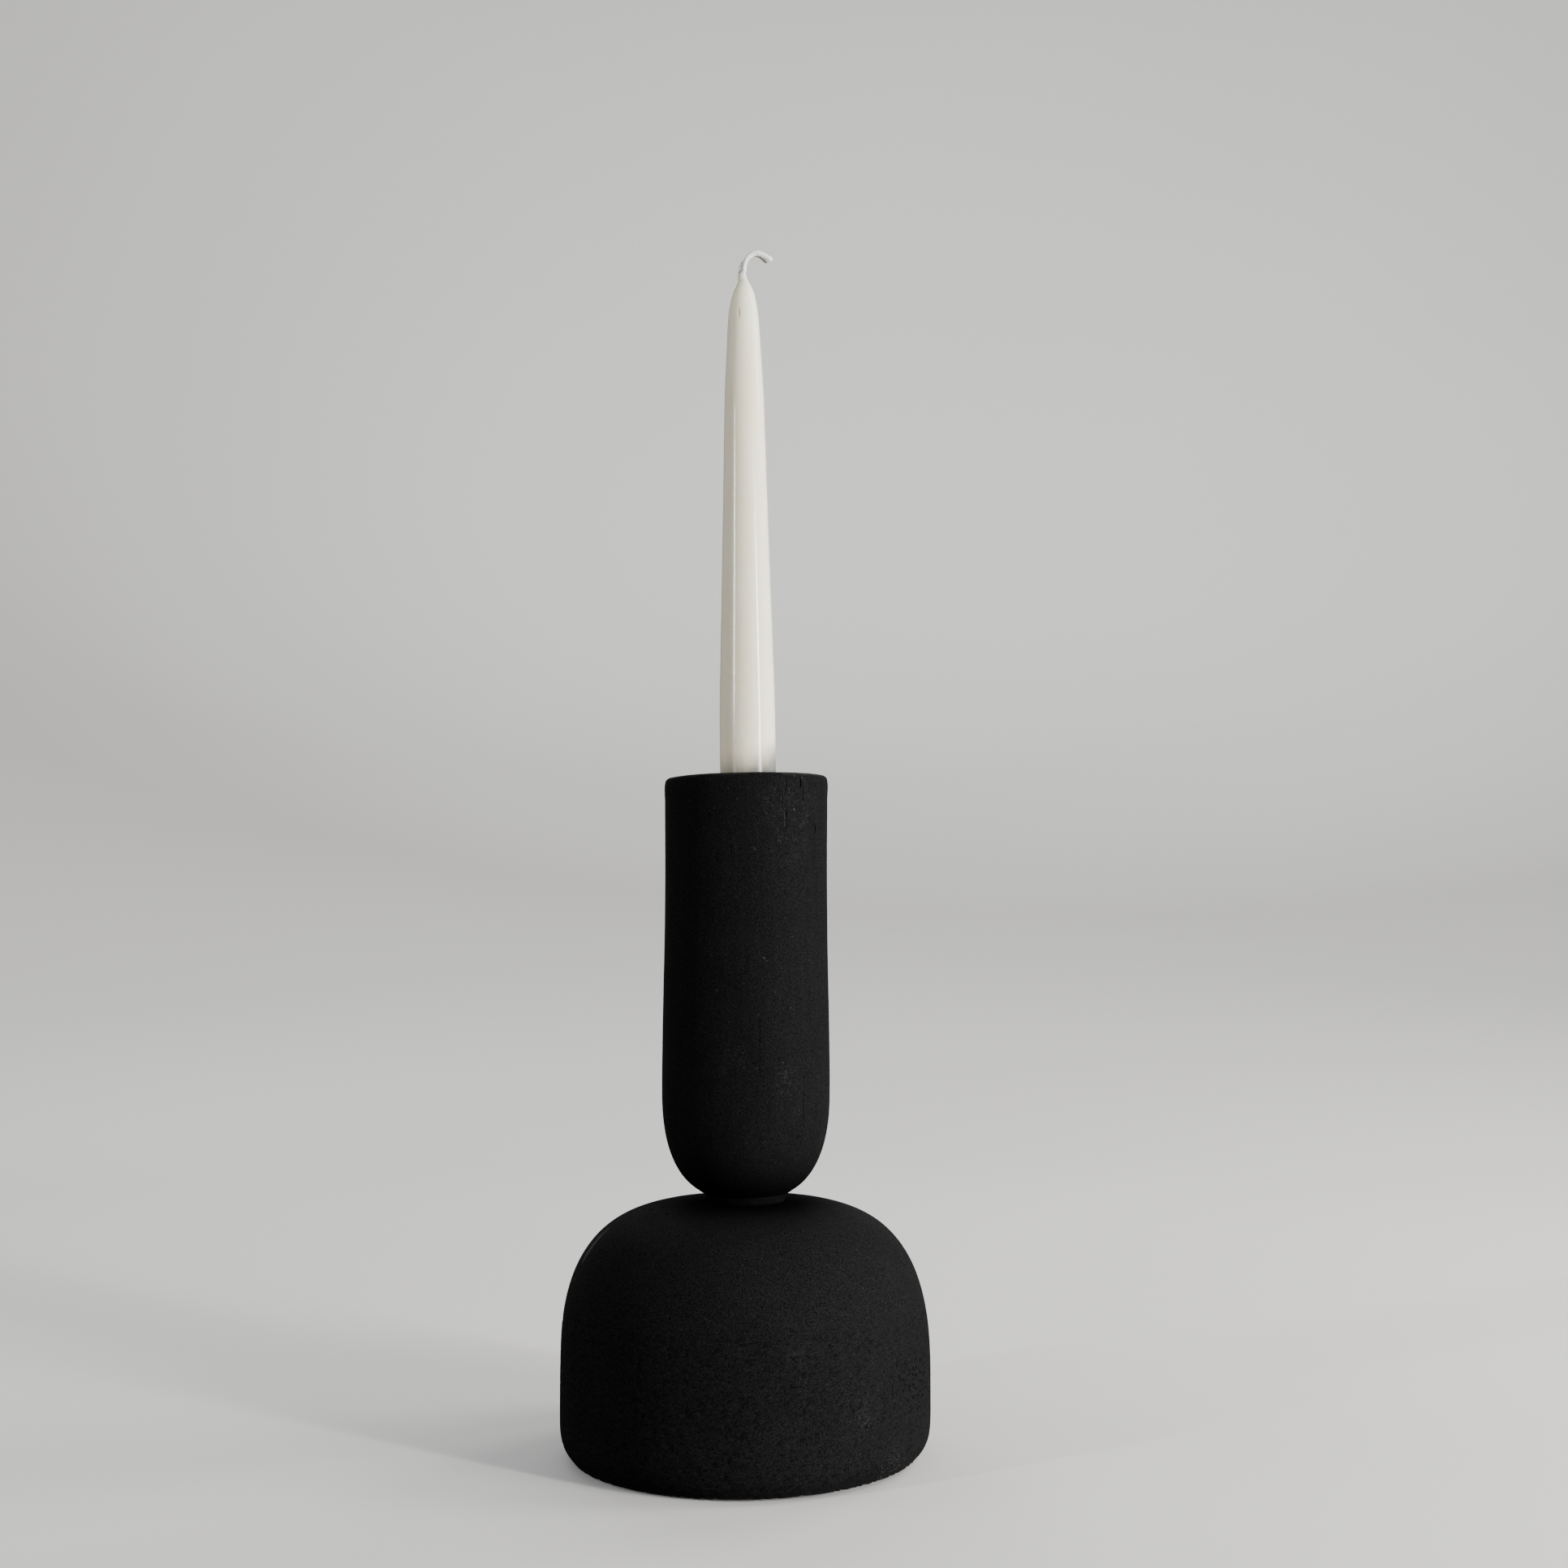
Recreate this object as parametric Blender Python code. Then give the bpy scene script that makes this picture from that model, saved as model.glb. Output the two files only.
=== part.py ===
"""A turned wooden candlestick, stained black, holding a taper candle.

A domed base and a tall column are joined by a loose dowel, whose bare middle shows as a short neck.
The column's top is bored for a metal candle cup, and a felt disc lies in a recess under the base.

Metres, +Z up. The origin is the centre of the underside, on the turning axis. The pieces that touch
keep GAP between them. The candle leans a little towards -X, as it stands loose in its cup, and it
lifts straight up.
"""

import math

import bmesh
import bpy

# How near pieces that touch come to each other, and the smallest distance that counts as one
GAP = 0.0003
TINY = 0.00002

# Base: a flank that swells from the foot to its widest, and a dome above that
BASE_FLOOR = 0.0010  # the wood's bottom edge, which the felt holds off the table
BASE_RADIUS = 0.0752
FOOT_RADIUS = 0.0705
FOOT_EDGE = 0.0006
WIDEST_HEIGHT = 0.0266
DOME_HEIGHT = 0.1013
FLANK_POWER = 6.0
DOME_POWER_OUT = 3.69
DOME_POWER_UP = 2.83
FOOT_SLOPE = 0.0096  # the underside's outer edge is cut out of square, higher towards +X
FOOT_FADE = 0.020  # the height over which the slope dies out
FLANK_STEPS = 8
FLANK_CROWDING = 1.4  # the flank's rings lie closer together towards the foot
DOME_STEPS = 18
SHOULDER_SWELL = 0.0006  # the dome's shoulder is fuller towards -X
SHOULDER_HEIGHT = 0.074
SHOULDER_SPREAD = 0.032

# Felt disc under the base
FELT_RADIUS = 0.0640
FELT_THICKNESS = 0.0019
RECESS_CLEARANCE = 0.0005

# Dowel between base and column
DOWEL_RADIUS = 0.0162
DOWEL_DEPTH_IN_BASE = 0.0300
DOWEL_DEPTH_IN_COLUMN = 0.0280
DOWEL_CHAMFER = 0.0015
DOWEL_CREASE = 0.0009  # the bare neck rounds under where it meets the dome

# Column: a round bottom, its widest low down, a slight waist and a square-cut rim
COLUMN_BOTTOM = 0.1021  # where the round bottom would end if the dowel's hole didn't cut it
COLUMN_RADIUS = 0.03442
COLUMN_WIDEST_HEIGHT = 0.1464
WAIST_RADIUS = 0.0334
WAIST_HEIGHT = 0.2332
RIM_RADIUS = 0.0336
RIM_HEIGHT = 0.27455
RIM_EDGE = 0.0022
BOTTOM_POWER_OUT = 2.95
BOTTOM_POWER_UP = 2.36
LANDING = 0.0004  # flat ring around the dowel's hole
RIM_SLOPE = 0.0180  # the rim is cut out of square, higher towards +X
RIM_FADE = 0.040
BOTTOM_STEPS = 11
BODY_STEPS = 5

# Candle cup: a drawn metal liner with a flange let into the rim
CUP_RADIUS = 0.0127  # inside
CUP_DEPTH = 0.02545
CUP_WALL = 0.0008
FLANGE_RADIUS = 0.0170
FLANGE_BELOW_RIM = 0.0005

# Candle
CANDLE_LENGTH = 0.2355
CANDLE_LEAN = math.radians(0.638)
CANDLE_FOOT_OFFSET = 0.00104  # the foot stands off the axis, towards +X
CANDLE_FOOT_CLEARANCE = 0.00045
CANDLE_OUTLINE = (  # height above the foot, radius
    (0.0005, 0.01120),
    (0.0150, 0.01150),
    (0.0360, 0.01155),
    (0.0580, 0.01144),
    (0.1000, 0.01033),
    (0.1500, 0.00905),
    (0.1850, 0.00820),
    (0.2050, 0.00714),
    (0.2189, 0.00633),
    (0.2258, 0.00526),
    (0.2293, 0.00443),
    (0.2327, 0.00293),
    (0.2345, 0.00208),
    (CANDLE_LENGTH, 0.00185),
)
CANDLE_CURVE_STEPS = 2

# Wick: runs the candle's length, and curls over towards +X above the wax
WICK_RADIUS = 0.0009
WICK_FOOT = 0.0010
WICK_CURL = (  # across, height above the candle's foot
    (0.0000, 0.2355),
    (0.0004, 0.2387),
    (0.0006, 0.2405),
    (0.0011, 0.2425),
    (0.0020, 0.2441),
    (0.0034, 0.2453),
    (0.0052, 0.2459),
    (0.0067, 0.2458),
    (0.0081, 0.2453),
    (0.0094, 0.2446),
    (0.0108, 0.2437),
    (0.0122, 0.2428),
)

# Facets round each turned piece, and the turn in an outline that shows as an edge
WOOD_FACETS = 64
SMALL_FACETS = 40
EDGE_ANGLE = math.radians(35)


def material(name, colour, roughness, metallic=0.0):
    made = bpy.data.materials.new(name)
    made.use_nodes = True
    shader = made.node_tree.nodes["Principled BSDF"]
    shader.inputs["Base Color"].default_value = (*colour, 1.0)
    shader.inputs["Roughness"].default_value = roughness
    shader.inputs["Metallic"].default_value = metallic
    return made


def quarter_arc(radius, height, size, start, end, steps=4):
    """Points round a circle of that size, centred at (radius, height), between two angles in degrees."""
    angles = [math.radians(start + (end - start) * i / steps) for i in range(steps + 1)]
    return [(radius + size * math.cos(a), height + size * math.sin(a)) for a in angles]


def superellipse(radius, rise, power_out, power_up, angle):
    """A point of a superellipse's quarter, as (distance out, distance up)."""
    out = radius * math.cos(angle) ** (2 / power_out)
    return out, rise * math.sin(angle) ** (2 / power_up)


def angle_at(share, power_out):
    """The superellipse's angle where it is that share of its radius from the axis."""
    return math.acos(share ** (power_out / 2))


def ease(share):
    return 0.5 - 0.5 * math.cos(math.pi * share)


def spline(before, start, end, after, t):
    """A Catmull-Rom curve's value between start and end, where t runs from 0 to 1."""
    slope_in = (end - before) / 2
    slope_out = (after - start) / 2
    bend = 3 * (end - start) - 2 * slope_in - slope_out
    twist = 2 * (start - end) + slope_in + slope_out
    return start + slope_in * t + bend * t**2 + twist * t**3


def smooth_through(points, steps):
    """A curve through the points, with that many steps between each two."""
    ends = [points[0], *points, points[-1]]
    curve = []
    for four in zip(ends, ends[1:], ends[2:], ends[3:]):
        curve += [tuple(spline(*values, i / steps) for values in zip(*four)) for i in range(steps)]
    return [*curve, points[-1]]


def turned_mesh(outline, facets, closed=False):
    """A bmesh spun about Z from (radius, height) points. An open outline starts and ends on the axis."""
    bm = bmesh.new()
    points = [bm.verts.new((radius, 0, height)) for radius, height in outline]
    edges = [bm.edges.new(pair) for pair in zip(points, points[1:])]
    if closed:
        edges.append(bm.edges.new((points[-1], points[0])))
    bmesh.ops.spin(
        bm, geom=points + edges, axis=(0, 0, 1), cent=(0, 0, 0), angle=math.tau, steps=facets, use_merge=True
    )
    bmesh.ops.remove_doubles(bm, verts=bm.verts, dist=1e-6)
    bmesh.ops.recalc_face_normals(bm, faces=bm.faces)
    return bm


def cut_out_of_square(bm, slope, level, fade, inner_radius):
    """Slopes a turned end along X, fading over that height. Surfaces inside inner_radius stay level."""
    for vertex in bm.verts:
        away = abs(vertex.co.z - level)
        inside = math.hypot(vertex.co.x, vertex.co.y) < inner_radius + TINY
        if inside and away > TINY:
            continue
        vertex.co.z += slope * vertex.co.x * max(0.0, 1 - away / fade)


def swell_shoulder(bm, inner_radius):
    """Moves the dome's shoulder out on its -X side. Surfaces inside inner_radius stay."""
    for vertex in bm.verts:
        radius = math.hypot(vertex.co.x, vertex.co.y)
        if radius < inner_radius + TINY:
            continue
        side = max(0.0, -vertex.co.x / radius)
        near = max(0.0, 1 - ((vertex.co.z - SHOULDER_HEIGHT) / SHOULDER_SPREAD) ** 2)
        vertex.co.xy *= 1 + SHOULDER_SWELL * side * near / radius


def add_object(name, data, finish):
    made = bpy.data.objects.new(name, data)
    data.materials.append(finish)
    bpy.context.scene.collection.objects.link(made)
    return made


def add_turned(name, bm, finish):
    mesh = bpy.data.meshes.new(name)
    bm.to_mesh(mesh)
    bm.free()
    mesh.shade_smooth()
    mesh.set_sharp_from_angle(angle=EDGE_ANGLE)
    return add_object(name, mesh, finish)


def neck_height():
    """The height at which the dome meets the dowel."""
    angle = angle_at((DOWEL_RADIUS + GAP) / BASE_RADIUS, DOME_POWER_OUT)
    rise = DOME_HEIGHT - WIDEST_HEIGHT
    return WIDEST_HEIGHT + superellipse(BASE_RADIUS, rise, DOME_POWER_OUT, DOME_POWER_UP, angle)[1]


def column_foot():
    """The height of the flat ring that the column's dowel hole opens in."""
    share = (DOWEL_RADIUS + GAP + LANDING) / COLUMN_RADIUS
    depth = COLUMN_WIDEST_HEIGHT - COLUMN_BOTTOM
    angle = angle_at(share, BOTTOM_POWER_OUT)
    drop = superellipse(COLUMN_RADIUS, depth, BOTTOM_POWER_OUT, BOTTOM_POWER_UP, angle)[1]
    return COLUMN_WIDEST_HEIGHT - drop


def make_base(finish):
    recess_radius = FELT_RADIUS + RECESS_CLEARANCE
    recess_top = FELT_THICKNESS + GAP
    hole_radius = DOWEL_RADIUS + GAP
    hole_floor = neck_height() - DOWEL_DEPTH_IN_BASE - GAP
    edge = quarter_arc(FOOT_RADIUS - FOOT_EDGE, BASE_FLOOR + FOOT_EDGE, FOOT_EDGE, -90, 0)
    outline = [(0, recess_top), (recess_radius, recess_top), (recess_radius, BASE_FLOOR), *edge]
    flank_bottom = edge[-1][1]
    for i in range(1, FLANK_STEPS + 1):
        share = (i / FLANK_STEPS) ** FLANK_CROWDING
        radius = BASE_RADIUS - (BASE_RADIUS - FOOT_RADIUS) * (1 - share) ** FLANK_POWER
        outline.append((radius, flank_bottom + (WIDEST_HEIGHT - flank_bottom) * share))
    last_angle = angle_at(hole_radius / BASE_RADIUS, DOME_POWER_OUT)
    dome_rise = DOME_HEIGHT - WIDEST_HEIGHT
    for i in range(1, DOME_STEPS + 1):
        angle = last_angle * i / DOME_STEPS
        radius, rise = superellipse(BASE_RADIUS, dome_rise, DOME_POWER_OUT, DOME_POWER_UP, angle)
        outline.append((radius, WIDEST_HEIGHT + rise))
    outline += [(hole_radius, hole_floor), (0, hole_floor)]
    bm = turned_mesh(outline, WOOD_FACETS)
    cut_out_of_square(bm, FOOT_SLOPE, BASE_FLOOR, FOOT_FADE, recess_radius)
    swell_shoulder(bm, hole_radius)
    return add_turned("base", bm, finish)


def make_felt_pad(finish):
    outline = [(0, 0), (FELT_RADIUS, 0), (FELT_RADIUS, FELT_THICKNESS), (0, FELT_THICKNESS)]
    return add_turned("felt_pad", turned_mesh(outline, WOOD_FACETS), finish)


def make_neck_dowel(finish):
    bottom = neck_height() - DOWEL_DEPTH_IN_BASE
    top = column_foot() + DOWEL_DEPTH_IN_COLUMN
    inset = DOWEL_RADIUS - DOWEL_CHAMFER
    waist = DOWEL_RADIUS - DOWEL_CREASE
    crease = neck_height()
    outline = [
        (0, bottom),
        (inset, bottom),
        (DOWEL_RADIUS, bottom + DOWEL_CHAMFER),
        (DOWEL_RADIUS, crease - DOWEL_CREASE),
        *quarter_arc(waist, crease + DOWEL_CREASE, DOWEL_CREASE, -90, 0),
        (DOWEL_RADIUS, top - DOWEL_CHAMFER),
        (inset, top),
        (0, top),
    ]
    return add_turned("neck_dowel", turned_mesh(outline, WOOD_FACETS), finish)


def make_column(finish):
    hole_radius = DOWEL_RADIUS + GAP
    hole_top = column_foot() + DOWEL_DEPTH_IN_COLUMN + GAP
    ledge_radius = FLANGE_RADIUS + GAP
    ledge_height = RIM_HEIGHT - FLANGE_BELOW_RIM - CUP_WALL - GAP
    bore_radius = CUP_RADIUS + CUP_WALL + GAP
    bore_floor = cup_floor() - CUP_WALL - GAP

    outline = [(0, hole_top), (hole_radius, hole_top), (hole_radius, column_foot())]
    first_angle = angle_at((hole_radius + LANDING) / COLUMN_RADIUS, BOTTOM_POWER_OUT)
    depth = COLUMN_WIDEST_HEIGHT - COLUMN_BOTTOM
    for i in range(BOTTOM_STEPS + 1):
        angle = first_angle * (1 - i / BOTTOM_STEPS)
        radius, drop = superellipse(COLUMN_RADIUS, depth, BOTTOM_POWER_OUT, BOTTOM_POWER_UP, angle)
        outline.append((radius, COLUMN_WIDEST_HEIGHT - drop))
    rim_side = RIM_HEIGHT - RIM_EDGE
    for i in range(1, BODY_STEPS + 1):
        share = i / BODY_STEPS
        radius = COLUMN_RADIUS + (WAIST_RADIUS - COLUMN_RADIUS) * ease(share)
        outline.append((radius, COLUMN_WIDEST_HEIGHT + (WAIST_HEIGHT - COLUMN_WIDEST_HEIGHT) * share))
    for i in range(1, BODY_STEPS):
        share = i / BODY_STEPS
        radius = WAIST_RADIUS + (RIM_RADIUS - WAIST_RADIUS) * ease(share)
        outline.append((radius, WAIST_HEIGHT + (rim_side - WAIST_HEIGHT) * share))
    outline += quarter_arc(RIM_RADIUS - RIM_EDGE, rim_side, RIM_EDGE, 0, 90)
    outline += [
        (ledge_radius, RIM_HEIGHT),
        (ledge_radius, ledge_height),
        (bore_radius, ledge_height),
        (bore_radius, bore_floor),
        (0, bore_floor),
    ]
    bm = turned_mesh(outline, WOOD_FACETS)
    cut_out_of_square(bm, RIM_SLOPE, RIM_HEIGHT, RIM_FADE, ledge_radius)
    return add_turned("column", bm, finish)


def cup_floor():
    """The height of the cup's inside floor."""
    return RIM_HEIGHT - FLANGE_BELOW_RIM - CUP_DEPTH


def make_candle_cup(finish):
    top = RIM_HEIGHT - FLANGE_BELOW_RIM
    outside = CUP_RADIUS + CUP_WALL
    underneath = cup_floor() - CUP_WALL
    bend = 2 * CUP_WALL
    mouth = quarter_arc(CUP_RADIUS + CUP_WALL, top - CUP_WALL, CUP_WALL, 90, 180)
    inner_bend = bend - CUP_WALL
    outline = [
        (0, underneath),
        *quarter_arc(outside - bend, underneath + bend, bend, -90, 0),
        (outside, top - CUP_WALL),
        (FLANGE_RADIUS, top - CUP_WALL),
        (FLANGE_RADIUS, top),
        *mouth,
        *reversed(quarter_arc(CUP_RADIUS - inner_bend, cup_floor() + inner_bend, inner_bend, -90, 0)),
        (0, cup_floor()),
    ]
    return add_turned("candle_cup", turned_mesh(outline, SMALL_FACETS), finish)


def add_candle_axis():
    """The candle's foot, with the lean that the wax and its wick share."""
    axis = bpy.data.objects.new("candle_axis", None)
    axis.location = (CANDLE_FOOT_OFFSET, 0, cup_floor() + CANDLE_FOOT_CLEARANCE)
    axis.rotation_euler = (0, -CANDLE_LEAN, 0)
    bpy.context.scene.collection.objects.link(axis)
    return axis


def make_candle(axis, finish):
    hole_radius = WICK_RADIUS + GAP
    foot_radius = CANDLE_OUTLINE[0][1] - CANDLE_OUTLINE[0][0]
    side = [(radius, height) for height, radius in smooth_through(CANDLE_OUTLINE, CANDLE_CURVE_STEPS)]
    outline = [(hole_radius, 0), (foot_radius, 0), *side, (hole_radius, CANDLE_LENGTH)]
    made = add_turned("candle", turned_mesh(outline, SMALL_FACETS, closed=True), finish)
    made.parent = axis
    return made


def make_wick(axis, finish):
    route = [(0, WICK_FOOT), *WICK_CURL]
    data = bpy.data.curves.new("wick", "CURVE")
    data.dimensions = "3D"
    data.bevel_depth = WICK_RADIUS
    data.bevel_resolution = 3
    data.use_fill_caps = True
    spline = data.splines.new("POLY")
    spline.points.add(len(route) - 1)
    for point, (across, height) in zip(spline.points, route):
        point.co = (across, 0, height, 1)
    made = add_object("wick", data, finish)
    made.parent = axis
    return made


def clear_scene():
    for found in list(bpy.data.objects):
        bpy.data.objects.remove(found)


def main():
    clear_scene()
    stained_wood = material("stained_wood", (0.013, 0.012, 0.012), 0.55)
    dowel_wood = material("dowel_wood", (0.020, 0.017, 0.015), 0.60)
    brass = material("cup_metal", (0.62, 0.47, 0.24), 0.35, metallic=1.0)
    wax = material("wax", (0.78, 0.74, 0.66), 0.35)
    cotton = material("cotton", (0.84, 0.81, 0.74), 0.80)
    felt = material("felt", (0.018, 0.018, 0.019), 0.95)

    make_base(stained_wood)
    make_neck_dowel(dowel_wood)
    make_column(stained_wood)
    make_candle_cup(brass)
    make_felt_pad(felt)
    axis = add_candle_axis()
    make_candle(axis, wax)
    make_wick(axis, cotton)


main()
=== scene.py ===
"""The looks of a black-stained turned candlestick with its ivory taper candle.

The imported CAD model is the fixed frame. Each CAD node's rings are read back and resampled finely, so
every visible piece keeps the CAD's size and place and gains the detail of the real surface: checks,
pores, a nicked rim, uneven hand sanding, dipped wax, a braided wick and a felted edge.

All lengths are metres. Azimuths are degrees round +Z from the front, -Y, towards +X, the viewer's right.
"""

import math

import bmesh
import bpy
import numpy as np
from mathutils import Matrix, Vector, noise


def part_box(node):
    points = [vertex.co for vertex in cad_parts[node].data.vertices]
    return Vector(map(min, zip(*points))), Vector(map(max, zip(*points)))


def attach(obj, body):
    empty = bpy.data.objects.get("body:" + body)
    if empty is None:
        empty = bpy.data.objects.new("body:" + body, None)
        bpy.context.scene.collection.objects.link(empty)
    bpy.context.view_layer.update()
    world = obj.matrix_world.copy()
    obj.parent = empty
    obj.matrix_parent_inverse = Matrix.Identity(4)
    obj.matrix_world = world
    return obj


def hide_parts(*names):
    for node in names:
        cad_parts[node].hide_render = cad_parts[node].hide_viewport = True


MM = 0.001

# Camera: at the height of the column's upper half, looking up a little and slightly to the right
CAMERA_DISTANCE = 838.8 * MM
CAMERA_HEIGHT = 225.0 * MM
CAMERA_PITCH = 3.19
CAMERA_YAW = 1.068
CAMERA_LENS = 46.58  # for a sensor 36 wide

# Stage: a round pale floor that sweeps up into a wall on every side
STAGE_RADIUS = 2.6
STAGE_HEIGHT = 3.0
STAGE_SWEEP = 1.7
FLOOR_RADIUS = 0.6
CARD_RADIUS = 1.5

# Spacing of the fine meshes
WOOD_STEP = 0.8 * MM
BASE_SIDES = 384
COLUMN_SIDES = 256
SMALL_STEP = 0.7 * MM
SMALL_SIDES = 128
CORNER = math.radians(40)  # an outline that turns more than this has a real edge there

# The stain's colour in dense grain, in open grain and in blotches, and each piece's shade of it: the base's
# is paler than the column's as painted light, and the neck's darker as painted shade
STAIN = ((0.84, 0.85, 0.90), (1.0, 1.0, 1.06), (1.22, 1.18, 1.20))
COLUMN_TONE = 0.0064
BASE_TONE_WITH_PAINTED_LIGHT = 0.0076
NECK_TONE_WITH_PAINTED_SHADE = 0.0050
# Painted shade: near black, painted into the checks, pits and open pores, and round the neck
PAINTED_SHADE = (0.0010, 0.0010, 0.0010)
# Pale wear, and painted highlights along the rim's edge and on the base's left shoulder
PALE_WEAR_AND_HIGHLIGHT = (0.060, 0.058, 0.056)
NECK_SHADE_CENTRE = (0.0, 0.0, 101 * MM)  # shade is painted round here, under the column's overhang
NECK_SHADE_START = 17 * MM

# Surfaces that stay as turned: the column's bores, and under the base its recess and dowel hole
COLUMN_BORE = 25 * MM  # nearer the axis than this, above COLUMN_BORE_FLOOR
COLUMN_BORE_FLOOR = 120 * MM
DOWEL_HOLE = 17.5 * MM
RECESS = 65 * MM
RECESS_HEIGHT = 2.5 * MM

# Checks in the column: azimuth, lower end, length, width and depth, all but the azimuth in mm, and how
# pale the left lip is
CHECKS = (
    (27.9, 267.2, 6.2, 0.34, 0.30, 0.35),
    (40.2, 268.8, 4.0, 0.62, 0.90, 0.12),
    (42.6, 263.4, 6.5, 0.36, 0.35, 0.10),
    (25.2, 262.2, 4.4, 0.32, 0.25, 0.45),
    (28.2, 252.4, 7.6, 0.46, 0.75, 0.65),
    (56.6, 250.8, 4.0, 0.60, 0.80, 0.00),
    (-20.1, 238.8, 5.0, 0.34, 0.35, 0.00),
    (-10.2, 242.6, 4.2, 0.34, 0.35, 0.00),
    (-25.8, 256.4, 2.4, 0.34, 0.35, 0.00),
    (9.1, 153.0, 26.0, 0.22, 0.10, 0.00),
    (42.0, 124.0, 33.0, 0.24, 0.12, 0.00),
    (55.0, 136.0, 9.0, 0.28, 0.20, 0.00),
    (118.0, 262.0, 12.0, 0.50, 0.60, 0.50),
    (163.0, 256.0, 17.0, 0.45, 0.50, 0.70),
    (171.0, 130.0, 24.0, 0.30, 0.20, 0.00),
    (-142.0, 264.0, 9.5, 0.55, 0.70, 0.40),
    (-101.0, 235.0, 13.0, 0.35, 0.30, 0.20),
)
# Short pale scratches on the column: azimuth, lower end, length and width in mm, paleness
SCRATCHES = (
    (27.9, 270.6, 1.6, 0.42, 0.5),
    (25.1, 262.6, 1.2, 0.45, 0.5),
    (30.6, 266.4, 2.2, 0.28, 0.5),
    (35.0, 259.3, 1.3, 0.70, 0.5),
    (35.4, 273.2, 0.9, 0.50, 0.4),
    (41.9, 272.2, 1.4, 0.42, 0.45),
    (46.3, 269.6, 0.8, 0.50, 0.35),
    (49.0, 264.7, 1.6, 0.28, 0.3),
    (19.5, 256.9, 0.4, 2.00, 0.3),
    (5.5, 243.6, 1.4, 0.40, 0.3),
    (24.0, 246.0, 1.8, 0.28, 0.3),
    (12.0, 200.5, 0.8, 0.60, 0.6),
    (-20.0, 187.8, 0.7, 0.50, 0.5),
    (25.4, 159.2, 0.8, 0.60, 0.6),
    (148.0, 247.0, 3.4, 0.35, 0.5),
    (-119.0, 259.0, 2.8, 0.35, 0.5),
)

# The rim: its slope up towards +X, its height on the axis, the radius where a highlight painted along its
# outer edge starts, and its nicks as azimuth, width and depth in mm
RIM_SLOPE = 0.018
RIM_MIDDLE = 274.55 * MM
RIM_HIGHLIGHT_FROM = 31.5 * MM
RIM_NICKS = (
    (31.4, 1.3, 0.35),
    (54.0, 1.6, 0.40),
    (-118.0, 2.2, 0.40),
    (149.0, 1.8, 0.50),
)

# Open pores where the base's flank cuts across the grain, front right and opposite: azimuth, height, reach
PORE_PATCHES = ((62.5, 36.0 * MM, 19 * MM), (243.0, 38.0 * MM, 21 * MM))
PORE_CELL = (3.9 * MM, 2.7 * MM)  # the pores' usual distance apart, across and up

# Pits in the dome's top: azimuth, distance from the axis, radius and depth in mm
PITS = (
    (-76.5, 39.7, 0.9, 0.5),
    (-73.6, 34.7, 0.7, 0.4),
    (-54.3, 38.4, 0.9, 0.3),
    (140.0, 47.0, 0.9, 0.4),
)
# Pale strokes on the dome's shoulders, the first a highlight painted along the left shoulder and the others
# scrapes: azimuth and height of the upper and the lower end, width, paleness
PALE_STROKES = (
    # a highlight painted along the left shoulder
    (-80.5, 92.0, -76.9, 78.0, 5.0, 0.85),
    (-77.5, 73.2, -77.0, 71.2, 1.9, 0.45),
    (-75.0, 42.5, -75.2, 32.0, 0.9, 0.25),
    (33.0, 62.0, 39.0, 57.5, 0.7, 0.20),
    (128.0, 86.0, 122.0, 76.0, 1.4, 0.50),
)

# The wick's curl, repeated from the CAD: across and up from the candle's foot
WICK_CURL = (
    (0.0000, 0.2355),
    (0.0004, 0.2387),
    (0.0006, 0.2405),
    (0.0011, 0.2425),
    (0.0020, 0.2441),
    (0.0034, 0.2453),
    (0.0052, 0.2459),
    (0.0067, 0.2458),
    (0.0081, 0.2453),
    (0.0094, 0.2446),
    (0.0108, 0.2437),
    (0.0122, 0.2428),
)

# Wax drawn up the wick: height above the candle's foot, radius, and how far it stands off towards +X, mm
WAX_TIP = (
    (232.5, 3.05, 0.00),
    (233.9, 2.22, 0.05),
    (235.2, 1.95, -0.25),
    (236.4, 1.80, -0.42),
    (237.4, 1.45, -0.25),
    (238.8, 1.00, 0.30),
)
TIP_START = 231.5 * MM
WAX_MARK = (-3.0 * MM, -6.1 * MM, 468.0 * MM)  # a brown nick near the candle's tip
WAX_DENT = (-15.0, 219.0 * MM)  # a dent above it: azimuth, and height above the candle's foot
RIM_SHADE_FROM, RIM_SHADE_TO = 287 * MM, 272 * MM  # shade painted on the wax just above the rim, none at the first height and full at the second

# Loose yarn under the wick's end, and the torn skin of wax beside its foot: across and up from the candle's
# foot, in mm
LOOSE_YARN = ((4.1, 244.8), (6.2, 244.7), (7.6, 244.0), (8.8, 243.0), (10.1, 241.9))
WAX_SKIN = ((-0.95, 234.8), (-1.0, 237.2), (-0.8, 239.4), (-0.4, 241.4), (-0.05, 242.6))

LIGHT_AIM = Vector((0, 0, 0.25))


# ---------------------------------------------------------------- node trees


def node(tree, kind, sockets=None, **settings):
    """Adds a shader node. A socket's value is a constant, or another node's output to link."""
    made = tree.nodes.new(kind)
    for key, value in settings.items():
        setattr(made, key, value)
    for key, value in (sockets or {}).items():
        if isinstance(value, bpy.types.NodeSocket):
            tree.links.new(value, made.inputs[key])
        else:
            made.inputs[key].default_value = value
    return made


def material(name, **sockets):
    """A material with one Principled shader, and the values that are the same all over it."""
    made = bpy.data.materials.new(name)
    made.use_nodes = True
    shader = made.node_tree.nodes["Principled BSDF"]
    for key, value in sockets.items():
        shader.inputs[key.replace("_", " ")].default_value = value
    return made, made.node_tree, shader


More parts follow.
